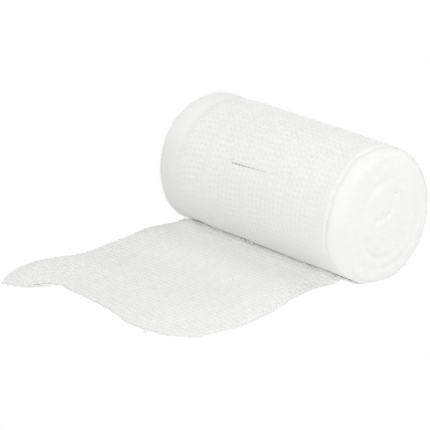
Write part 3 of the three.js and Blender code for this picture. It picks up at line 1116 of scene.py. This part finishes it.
steps = int(END_LENGTH / WEFT_PITCH) * STEPS_PER_WEFT
along = np.broadcast_to(np.linspace(0, SELVEDGE_ENDS, steps + 1), (2, steps + 1))
inset = SELVEDGE_INSET / STRIP_WIDTH
side = np.arange(2)[:, None]
flat = np.stack([along * END_LENGTH, 0 * along, SIDES_APART * side + 0 * along], -1)
share = np.where(side == 0, inset, 1 - inset) + lumps(flat, SELVEDGE_WANDER)
pinch = 0.5 + 0.5 * np.cos(2 * math.pi * weft_number(share, along))
normals = loose_normals(share, along)
base = SELVEDGE_TOP - SELVEDGE_HEIGHT + SELVEDGE_SWELL * (1 - pinch)
paths = loose_top(share, along) + normals * base[..., None]
widths = SELVEDGE_WIDTH * (1 - PINCHED_WIDTH * pinch)
heights = SELVEDGE_HEIGHT * (1 - PINCHED_HEIGHT * pinch)
loose_selvedges = yarns("loose_end_selvedges", paths, normals, widths, heights)
print("selvedges", triangles(loose_selvedges), "triangles")

# %% [markdown]
# A few small things give the real roll away as handled cloth: knots of lint on the cut edge, three tiny
# curls of yarn in the nip, and on the front of the roll a thread, greyer than the rest, that runs in and out
# of the warps along one weft. The curls are painted lighter than the shade in the nip, and the thread's grey
# is partly painted shade. Each is a short strand of its own. A strand bends only as finely as its steps, so
# each curl gets twelve of them.

# %% Knots on the cut edge
# The knots: x, y, heading in degrees, length, width and height in mm. A knot's ends are narrower by
# KNOT_ROUND, and it lies KNOT_BASE off the floor.
KNOT_STEPS = 6
KNOT_ROUND = 1.9
KNOT_BASE = 0.05
KNOTS = [
    (22.6, -80.0, 250, 1.3, 1.0, 0.75),
    (21.2, -77.4, 200, 0.9, 0.8, 1.15),
    (26.8, -76.8, 280, 1.0, 0.7, 0.6),
    (36.1, -71.1, 300, 0.9, 0.8, 0.6),
    (-35.2, -86.9, 240, 1.3, 1.2, 0.7),
]

run = np.linspace(-0.5, 0.5, KNOT_STEPS)
heading = np.radians([knot[2] for knot in KNOTS])
ways = np.stack([np.cos(heading), np.sin(heading), 0 * heading], -1)
places = np.array([(x, y, KNOT_BASE) for x, y, *_ in KNOTS])
lengths, widths, heights = (np.array([knot[i] for knot in KNOTS])[:, None] for i in (3, 4, 5))
rounded = np.sqrt(1 - (KNOT_ROUND * run) ** 2)
paths = places[:, None] + ways[:, None] * (lengths * run)[..., None]
upwards = np.broadcast_to([0.0, 0.0, 1.0], paths.shape)
knots = yarns("cut_edge_knots", paths, upwards, widths * rounded, heights * rounded)
print("knots", triangles(knots), "triangles")

# %% Curls in the nip
# The curls: x, y, z and radius in mm. Each is most of a turn of yarn, seen at a slant: its ring is
# as wide as the radius and CURL_SLANT deep and high.
CURLS = [(-9.0, -12.3, 3.12, 0.4), (-7.0, -12.3, 3.12, 0.36), (-5.2, -12.3, 3.12, 0.4)]
CURL_STEPS = 12
CURL_TURN = 1.7 * math.pi
CURL_SLANT = (-0.3, 0.7)
CURL_FACES = (0.4, -0.8, 0.35)
CURL_THICKNESS = 0.4

turn = np.linspace(0, CURL_TURN, CURL_STEPS)
places = np.array([place[:3] for place in CURLS])
radii = np.array([place[3] for place in CURLS])[:, None, None]
ring = np.stack([np.cos(turn), CURL_SLANT[0] * np.sin(turn), CURL_SLANT[1] * np.sin(turn)], -1)
paths = places[:, None] + radii * ring
outwards = unit(np.broadcast_to(CURL_FACES, paths.shape))
thick = np.full(paths.shape[:2], CURL_THICKNESS)
curls = yarns("nip_curls", paths, outwards, thick, thick)
print("curls", triangles(curls), "triangles")

# %% The grey thread
# Its two ends: x in mm and angle in degrees. In between it stands THREAD_TOP out of the skin and
# dips between the warps.
THREAD_START, THREAD_END = (-7.4, 242.4), (6.9, 240.2)
THREAD_STEPS = 100
THREAD_WIDTH, THREAD_HEIGHT = 0.36, 0.22
THREAD_TOP = 0.03
THREAD_DIP, DIP_MIDDLE = 0.16, 0.1

# The loop before its start: the share of the way along it, and the way from the start along the
# roll and up, in mm. It lies LOOP_LIFT higher and is thinner, and the thread thins to its end.
LOOP = [(0, 1.3, 1.05), (0.2, 0.4, 1.25), (0.45, -0.7, 1.05), (0.7, -1.1, 0.45), (1, -0.3, 0.05)]
LOOP_STEPS = 13
LOOP_RADIUS = 20.8
LOOP_LIFT = 0.04
LOOP_SIZE, END_THINNER, LEAST_HEIGHT = 0.35, 0.35, 0.7

loop = np.linspace(0, 1, LOOP_STEPS + 1)[:-1]
loop_x = THREAD_START[0] + curve([(share, x) for share, x, _ in LOOP], loop)
loop_up = curve([(share, up) for share, _, up in LOOP], loop)
loop_angle = np.radians(THREAD_START[1]) - loop_up / LOOP_RADIUS
run = np.linspace(0, 1, THREAD_STEPS)
run_x = THREAD_START[0] + (THREAD_END[0] - THREAD_START[0]) * run
run_angle = np.radians(THREAD_START[1] + (THREAD_END[1] - THREAD_START[1]) * run)
x, angle = np.append(loop_x, run_x), np.append(loop_angle, run_angle)
share = (x - FAR_EDGE) / (crease(angle) - FAR_EDGE)
in_run = np.append(0 * loop, 0 * run + 1)
dip = np.cos(2 * math.pi * share * ROLL_WARPS) * in_run
radius = roll_reach(x, angle) + THREAD_TOP - THREAD_HEIGHT + THREAD_DIP * (dip + DIP_MIDDLE)
radius = radius + LOOP_LIFT * (1 - in_run)
size = np.append(0 * loop + LOOP_SIZE, 1 - END_THINNER * run)
thread = yarns(
    "grey_thread",
    roll_point(x, radius, angle)[None],
    spoke(angle)[None],
    (THREAD_WIDTH * size)[None],
    (THREAD_HEIGHT * np.maximum(size, LEAST_HEIGHT))[None],
)
print("the grey thread has", triangles(thread), "triangles")

# %% [markdown]
# Short fibres stand off cotton all over, and against a pale ground they soften its outline. A
# hair system could grow them, but the fibres have to be meshes of their own here. So some 2,700
# three-sided strands are set at chance places, each leaning and curling its own way.

# %% Helper for fibres
# A fibre's width in mm, its steps, how strongly it stands up and curls, the range of its length as
# a share of the longest, and how much thinner its tip is. TILTED only makes a second direction,
# across which the fibre's section can be laid.
FIBRE_WIDTH = 0.055
FIBRE_STEPS = 5
FIBRE_STANDS, FIBRE_CURLS = 1.1, 0.5
FIBRE_LENGTHS, MORE_SHORT_ONES = (0.4, 1.0), 1.5
TIP_THINNER = 0.6
TILTED = 0.3


def fibres(name, roots, normals, seed, longest):
    """Short curved strands that start at the roots."""
    chance = np.random.default_rng(seed)
    lean = unit(chance.normal(size=roots.shape) + FIBRE_STANDS * normals)
    curl = FIBRE_CURLS * chance.normal(size=roots.shape)
    length = chance.uniform(*FIBRE_LENGTHS, (len(roots), 1, 1)) ** MORE_SHORT_ONES * longest
    t = np.linspace(0, 1, FIBRE_STEPS)[None, :, None]
    paths = roots[:, None] + length * (lean[:, None] * t + curl[:, None] * t * t)
    paths[..., 2] = np.maximum(paths[..., 2], FIBRE_WIDTH)
    sideways = unit(np.cross(lean, unit(normals + TILTED)))
    taper = FIBRE_WIDTH * (1 - TIP_THINNER * t[..., 0]) * np.ones((len(roots), 1))
    return yarns(name, paths, np.broadcast_to(sideways[:, None], paths.shape), taper, taper, THREE_SIDED)


# %% Fibres of the roll
# The fibres start ROOT_DEPTH below the skin. Angles are in radians here, and x in mm.
ROLL_FIBRES, RIM_FIBRES = 1100, 600
ROOT_DEPTH = 0.05
ROLL_LONGEST = 1.1
FIBRES_ALONG, FIBRES_ROUND = (-38, 36), (0.3, 2 * math.pi - 0.5)

# More of them stand along the back of the near rim and on the far rim, where the selvedge of
# every turn ends: the arc on which they stand, and how far round each rim.
NEAR_ARC, OVER_NEAR = (0.1, 3.6), (0.15, 1.2)
FAR_ARC, OVER_FAR = (2.6, 5.8), (0, 1.2)


def rim_normals(side, angle, over_rim):
    """The way out of a rim, from the side of the roll towards an end face."""
    outwards = side * np.sin(over_rim)[:, None] * np.array([1.0, 0, 0])
    return spoke(angle) * np.cos(over_rim)[:, None] + outwards


chance = np.random.default_rng(seed=11)
x = chance.uniform(*FIBRES_ALONG, ROLL_FIBRES)
angle = chance.uniform(*FIBRES_ROUND, ROLL_FIBRES)
roots = [roll_point(x, roll_reach(x, angle) - ROOT_DEPTH, angle)]
normals = [spoke(angle)]

angle = chance.uniform(*NEAR_ARC, RIM_FIBRES)
over_rim = chance.uniform(*OVER_NEAR, RIM_FIBRES)
start, inset = near_start(angle), near_inset(angle)
drop = inset * ((1 - BEVEL_SHARE) * (1 - np.cos(over_rim)) + BEVEL_SHARE * np.sin(over_rim))
x = start + (HALF_LENGTH - start) * np.sin(over_rim)
roots.append(roll_point(x, roll_reach(start, angle) - drop - ROOT_DEPTH, angle))
normals.append(rim_normals(1, angle, over_rim))

angle = chance.uniform(*FAR_ARC, RIM_FIBRES)
over_rim = chance.uniform(*OVER_FAR, RIM_FIBRES)
drop = FAR_INSET * (1 - np.cos(over_rim))
x = FAR_START - (HALF_LENGTH + FAR_START) * np.sin(over_rim)
roots.append(roll_point(x, roll_reach(FAR_START + 0 * angle, angle) - drop - ROOT_DEPTH, angle))
normals.append(rim_normals(-1, angle, over_rim))

roots, normals = np.vstack(roots), np.vstack(normals)
roll_fibres = fibres("outer_turn_fibres", roots, normals, seed=12, longest=ROLL_LONGEST)
print("the roll's fibres have", triangles(roll_fibres), "triangles")

# %% Fibres of the loose end
# One in three stands on a selvedge and one in three on the cut end. None stand in the nip, short
# of END_FIBRES_FROM of the length.
END_FIBRES = 420
END_FIBRES_FROM = 0.12
END_LONGEST = 0.8

share = chance.uniform(0, 1, END_FIBRES)
along = chance.uniform(END_FIBRES_FROM, 1, END_FIBRES)
on_edge = np.arange(END_FIBRES) % 3
share = np.where(on_edge == 1, np.round(share), share)
along = np.where(on_edge == 2, 1.0, along)
normals = loose_normals(share, along)
roots = loose_top(share, along) - ROOT_DEPTH * normals
end_fibres = fibres("loose_end_fibres", roots, normals, seed=13, longest=END_LONGEST)
print("the loose end's fibres have", triangles(end_fibres), "triangles")

# %% [markdown]
# Every finish here is undyed, bleached cotton and viscose. What differs is how the fibres lie: twisted in
# the yarns, felted in the ground and matted where the edges of the turns meet. Some tints differ as well, by
# painted light and shade, as said where each is made. Colours are sRGB hex values, turned to linear light,
# and the sizes of patterns are real millimetres.

# %% Helpers for cloth materials
# Cotton and viscose are both cellulose, with an IOR of 1.47. Cloth scatters nearly all the light, so
# it has little gloss, and the fibres that stand off it give a soft sheen at grazing angles.
CELLULOSE_IOR = 1.47
CLOTH_GLOSS = 0.15
SHEEN_ROUGHNESS = 0.6


def per_metre(size):
    """A texture's scale for lumps or lines size mm apart."""
    return 1000 / size


def cloth_material(name, roughness, sheen):
    """A material with a Principled shader for cloth, and its tree and shader."""
    material = bpy.data.materials.new(name)
    material.use_nodes = True
    shader = material.node_tree.nodes["Principled BSDF"]
    shader.inputs["Roughness"].default_value = roughness
    shader.inputs["Sheen Weight"].default_value = sheen
    shader.inputs["Sheen Roughness"].default_value = SHEEN_ROUGHNESS
    shader.inputs["IOR"].default_value = CELLULOSE_IOR
    shader.inputs["Specular IOR Level"].default_value = CLOTH_GLOSS
    return material, material.node_tree, shader


print("lumps of 0.5 mm need a texture scale of", per_metre(0.5))

# %% [markdown]
# A crepe yarn is twisted so hard that it wriggles. Close up it is matt and shows slanted lines of
# fibres, which a wave texture draws on the yarn's own UV map: U is millimetres along it, and V
# goes once round it. The real twist is about 1 mm a turn, too fine to show here, so it is drawn
# at 2 mm. Fluff lies over it as fine noise.

# %% Material of the yarns
YARN_ROUGHNESS, YARN_SHEEN = 0.95, 0.2

# A wave texture draws a line every 2 pi / (10 x its scale), so 0.32 gives one every 2 mm.
TWIST_SCALE = 0.32
TWIST_WRIGGLE = {"Distortion": 1.2, "Detail": 2.0, "Detail Scale": 2.0}
TWIST_DEPTH = 0.06
YARN_FLUFF_SIZE, YARN_FLUFF_DEPTH = 0.35, 0.08
YARN_RELIEF = 0.5


def crepe_yarn(name, shaded_hollow, crest):
    """Twisted yarn, darker in the hollows of the twist than on its crests, as painted shade."""
    material, tree, shader = cloth_material(name, YARN_ROUGHNESS, YARN_SHEEN)
    uv = add_node(tree, "ShaderNodeTexCoord").outputs["UV"]
    twist = add_node(
        tree, "ShaderNodeTexWave",
        {"Vector": uv, "Scale": TWIST_SCALE, **TWIST_WRIGGLE},
        wave_type="BANDS", bands_direction="DIAGONAL",
    ).outputs["Fac"]
    here = add_node(tree, "ShaderNodeTexCoord").outputs["Object"]
    fluff = add_node(
        tree, "ShaderNodeTexNoise",
        {"Vector": here, "Scale": per_metre(YARN_FLUFF_SIZE), "Detail": 3.0},
    ).outputs["Fac"]
    # Painted shade: the tint follows the twist that also makes the relief, darker in its hollows.
    tint = add_node(
        tree, "ShaderNodeMix",
        {"Factor": twist, "A": hex_colour(shaded_hollow), "B": hex_colour(crest)},
        data_type="RGBA",
    )
    tree.links.new(tint.outputs["Result"], shader.inputs["Base Color"])
    relief = add_node(
        tree, "ShaderNodeBump",
        {"Height": twist, "Strength": YARN_RELIEF, "Distance": TWIST_DEPTH * MM},
    ).outputs["Normal"]
    relief = add_node(
        tree, "ShaderNodeBump",
        {"Height": fluff, "Strength": YARN_RELIEF, "Distance": YARN_FLUFF_DEPTH * MM, "Normal": relief},
    ).outputs["Normal"]
    tree.links.new(relief, shader.inputs["Normal"])
    return material


wound_yarn = crepe_yarn("twisted_cotton_viscose_crepe_yarn", "#f0f0ef", "#f8f8f7")
# The loose end's copy is a little darker than the roll's. In part a single layer sends back less light than
# the wound roll, and the rest is painted shade.
loose_yarn = crepe_yarn("unwound_crepe_yarn", "#ebebea", "#f4f4f3")
# Painted light: the selvedges and the curls in the nip take this lighter copy of the yarn, to lift them out
# of the shade they lie in.
yarn_painted_lighter = crepe_yarn("crepe_yarn_painted_lighter", "#f3f3f2", "#fbfbfa")
print("yarns:", wound_yarn.name, loose_yarn.name, yarn_painted_lighter.name)

# %% [markdown]
# The ground and the wound edges are the same cotton as loose fibres, felted by handling. To the eye
# that is matt and soft, without direction, in two whites that change place every few millimetres.
# So plain noise on object coordinates serves it. Low on the far rim it is a little greyer: that is painted
# shade, for the shade that falls there behind the flared rim.

# %% Material of the ground and of the wound edges
FLUFF_ROUGHNESS, FLUFF_SHEEN = 0.95, 0.25
FLUFF_SIZE, FLUFF_DEPTH, FLUFF_RELIEF = 0.5, 0.1, 0.4
PATCH_SIZE = 6.0

# Where the painted shade on the far rim lies: the x and the z, in mm, at which it starts and is full, and
# its tint.
SHADE_FROM_X, SHADE_FULL_X = -30, -35
SHADE_FROM_Z, SHADE_FULL_Z = 38, 26
RIM_SHADE_TINT = "#ebebea"


def cotton_fluff(name, dull, bright, rim_painted_shade=False):
    """Felted fibres in two tints. Given the flag, painted shade makes the far rim of the roll a little
    greyer low down.
    """
    material, tree, shader = cloth_material(name, FLUFF_ROUGHNESS, FLUFF_SHEEN)
    here = add_node(tree, "ShaderNodeTexCoord").outputs["Object"]
    fluff = add_node(
        tree, "ShaderNodeTexNoise", {"Vector": here, "Scale": per_metre(FLUFF_SIZE), "Detail": 4.0}
    ).outputs["Fac"]
    patches = add_node(
        tree, "ShaderNodeTexNoise", {"Vector": here, "Scale": per_metre(PATCH_SIZE), "Detail": 2.0}
    ).outputs["Fac"]
    tint = add_node(
        tree, "ShaderNodeMix",
        {"Factor": patches, "A": hex_colour(dull), "B": hex_colour(bright)},
        data_type="RGBA",
    ).outputs["Result"]
    # Painted shade: low on the far rim the tint goes greyer, where shade falls behind the flare.
    if rim_painted_shade:
        places = add_node(tree, "ShaderNodeSeparateXYZ", {"Vector": here}).outputs
        by_length = add_node(
            tree, "ShaderNodeMapRange",
            {"Value": places["X"], "From Min": SHADE_FROM_X * MM, "From Max": SHADE_FULL_X * MM},
            interpolation_type="SMOOTHSTEP",
        ).outputs["Result"]
        by_height = add_node(
            tree, "ShaderNodeMapRange",
            {"Value": places["Z"], "From Min": SHADE_FROM_Z * MM, "From Max": SHADE_FULL_Z * MM},
            interpolation_type="SMOOTHSTEP",
        ).outputs["Result"]
        rim_shade_share = add_node(tree, "ShaderNodeMath", {0: by_length, 1: by_height}, operation="MULTIPLY")
        tint = add_node(
            tree, "ShaderNodeMix",
            {"Factor": rim_shade_share.outputs[0], "A": tint, "B": hex_colour(RIM_SHADE_TINT)},
            data_type="RGBA",
        ).outputs["Result"]
    tree.links.new(tint, shader.inputs["Base Color"])
    relief = add_node(
        tree, "ShaderNodeBump",
        {"Height": fluff, "Strength": FLUFF_RELIEF, "Distance": FLUFF_DEPTH * MM},
    )
    tree.links.new(relief.outputs["Normal"], shader.inputs["Normal"])
    return material


wound_fluff = cotton_fluff("felted_cotton_fluff", "#f1f1f0", "#f7f7f6", rim_painted_shade=True)
# As with the yarns, the loose end's fluff is a little darker: in part its single layer, and the rest painted
# shade.
loose_fluff = cotton_fluff("unwound_cotton_fluff", "#ececeb", "#f3f3f2")
print("fluffs:", wound_fluff.name, loose_fluff.name)

# %% [markdown]
# The thread is grey polyester sewing thread. It is smoother than cotton, so it is a little less rough, and
# its plies show as slanted lines. A colour ramp follows its length: pale in its loop, darkest where its
# straight run starts, and paler again towards its end. That is partly the thread's own grey and partly
# painted shade, for the gap between the wefts that it lies in.

# %% Material of the grey thread
THREAD_ROUGHNESS, THREAD_SHEEN = 0.7, 0.1

# The thread's length in mm with its loop, and its tints by share of that, which are partly painted shade.
TINTED_LENGTH = 18.0
START_TINT, END_TINT = "#d2d2d0", "#a8a8a6"
TINTS_AND_SHADE_BETWEEN = [(0.2, "#cacac8"), (0.27, "#585857"), (0.6, "#747472")]

# As for the yarn's twist, this scale gives a line every 0.7 mm, one for each ply.
PLY_SCALE, PLY_WRIGGLE = 0.9, 0.4
PLY_DEPTH, PLY_RELIEF = 0.05, 0.5

thread_material, tree, shader = cloth_material(
    "grey_thread_with_painted_shade", THREAD_ROUGHNESS, THREAD_SHEEN
)
uv = add_node(tree, "ShaderNodeTexCoord").outputs["UV"]
way = add_node(tree, "ShaderNodeSeparateXYZ", {"Vector": uv}).outputs["X"]
by_length = add_node(
    tree, "ShaderNodeMapRange", {"Value": way, "From Min": 0.0, "From Max": TINTED_LENGTH}
).outputs["Result"]
# Painted shade over the thread's own grey: the ramp is darkest where its straight run starts.
tint = add_node(tree, "ShaderNodeValToRGB", {"Fac": by_length})
stops = tint.color_ramp.elements
stops[0].color = hex_colour(START_TINT)
stops[1].color = hex_colour(END_TINT)
for place, code in TINTS_AND_SHADE_BETWEEN:
    stops.new(place).color = hex_colour(code)
tree.links.new(tint.outputs["Color"], shader.inputs["Base Color"])
plies = add_node(
    tree, "ShaderNodeTexWave", {"Vector": uv, "Scale": PLY_SCALE, "Distortion": PLY_WRIGGLE},
    wave_type="BANDS", bands_direction="DIAGONAL",
).outputs["Fac"]
relief = add_node(
    tree, "ShaderNodeBump", {"Height": plies, "Strength": PLY_RELIEF, "Distance": PLY_DEPTH * MM}
)
tree.links.new(relief.outputs["Normal"], shader.inputs["Normal"])
print("the thread has", len(stops), "tints")

# %% [markdown]
# Each piece gets its finish and rides on the one body.

# %% Hand over to the frame
ROLL_PIECES = [
    (roll_body, wound_fluff),
    (roll_warps, wound_yarn),
    (roll_wefts, wound_yarn),
    (roll_fibres, wound_fluff),
    (thread, thread_material),
]
END_PIECES = [
    (loose_ground, loose_fluff),
    (tucked_fold, loose_fluff),
    (loose_warps, loose_yarn),
    (loose_wefts, loose_yarn),
    (loose_selvedges, yarn_painted_lighter),
    (knots, loose_yarn),
    (curls, yarn_painted_lighter),
    (end_fibres, loose_fluff),
]
for pieces, slot in ((ROLL_PIECES, "wound_gauze"), (END_PIECES, "loose_gauze")):
    for piece, material in pieces:
        piece.data.materials.clear()
        piece.data.materials.append(material)
        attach(piece, "root")

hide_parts("wound_roll")
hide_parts("loose_end")

# %% Sizes for comparison
made_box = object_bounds()
for name, box in (("CAD", cad_box), ("made", made_box)):
    print(name, [round(value / MM, 1) for corner in box for value in corner])
